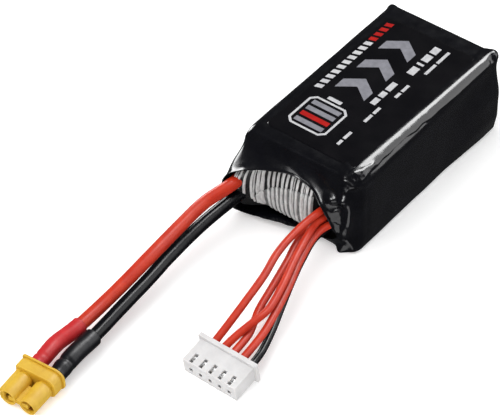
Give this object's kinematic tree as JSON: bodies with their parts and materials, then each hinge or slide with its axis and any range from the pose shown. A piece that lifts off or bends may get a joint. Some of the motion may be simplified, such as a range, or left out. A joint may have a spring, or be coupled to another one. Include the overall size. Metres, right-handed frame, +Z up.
{
  "type": "lithium polymer battery pack",
  "caption": "Rectangular soft-pack battery in shrink film with two main leads to a power connector and a bundle of balance leads to a balance plug.",
  "frame": {"origin": "centre of the wrapped pack's footprint, on the surface it lies on; the leads and their connectors are not counted", "axes": "+Z up through the cell stack; -Y out of the front where the leads leave; +X across the width, to the right when looking along +Y"},
  "size_m": [0.0405, 0.1326, 0.0218],
  "materials": {
    "sleeve_film": "glossy black heat-shrink film, slightly rippled",
    "label_film": null,
    "cell_pouch": "satin aluminium laminate",
    "tab_aluminium": "rolled aluminium foil strip",
    "tab_nickel": "nickel-plated copper strip",
    "adhesive_pad": "soft white double-sided foam tape",
    "board_laminate": "green glass-epoxy board",
    "insulator_paper": "pale green insulating paper",
    "foam": "black closed-cell foam",
    "filament_tape": "clear tape with white glass strands",
    "end_card": "black fibre card",
    "red_silicone": "satin red silicone",
    "black_silicone": "satin black silicone",
    "red_shrink": "red heat-shrink tube",
    "black_shrink": "black heat-shrink tube",
    "connector_yellow": "yellow nylon, slightly translucent",
    "connector_white": "white nylon, slightly translucent",
    "gold_contact": "gold-plated copper alloy",
    "tin_contact": "tin-plated phosphor bronze",
    "copper_core": "tinned copper strands"
  },
  "bodies": {
    "root": {"shrink_sleeve": "sleeve_film", "top_label": "label_film", "cell_1": "cell_pouch", "cell_2": "cell_pouch", "cell_3": "cell_pouch", "cell_4": "cell_pouch", "cell_pad_1": "adhesive_pad", "cell_pad_2": "adhesive_pad", "cell_pad_3": "adhesive_pad", "cell_1_positive_tab": "tab_aluminium", "cell_1_negative_tab": "tab_nickel", "cell_2_positive_tab": "tab_aluminium", "cell_2_negative_tab": "tab_nickel", "cell_3_positive_tab": "tab_aluminium", "cell_3_negative_tab": "tab_nickel", "cell_4_positive_tab": "tab_aluminium", "cell_4_negative_tab": "tab_nickel", "tab_board": "board_laminate", "tab_insulator": "insulator_paper", "rear_end_card": "end_card", "foam_block": "foam", "filament_tape_upper": "filament_tape", "filament_tape_lower": "filament_tape", "red_main_lead": "red_silicone", "black_main_lead": "black_silicone", "red_lead_core": "copper_core", "black_lead_core": "copper_core", "red_lead_shrink": "red_shrink", "black_lead_shrink": "black_shrink", "power_connector_housing": "connector_yellow", "power_socket_positive": "gold_contact", "power_socket_negative": "gold_contact", "balance_lead_1": "red_silicone", "balance_lead_2": "red_silicone", "balance_lead_3": "red_silicone", "balance_lead_4": "red_silicone", "balance_lead_5": "black_silicone", "balance_connector_housing": "connector_white", "balance_contact_1": "tin_contact", "balance_contact_2": "tin_contact", "balance_contact_3": "tin_contact", "balance_contact_4": "tin_contact", "balance_contact_5": "tin_contact"}
  },
  "joints": []
}
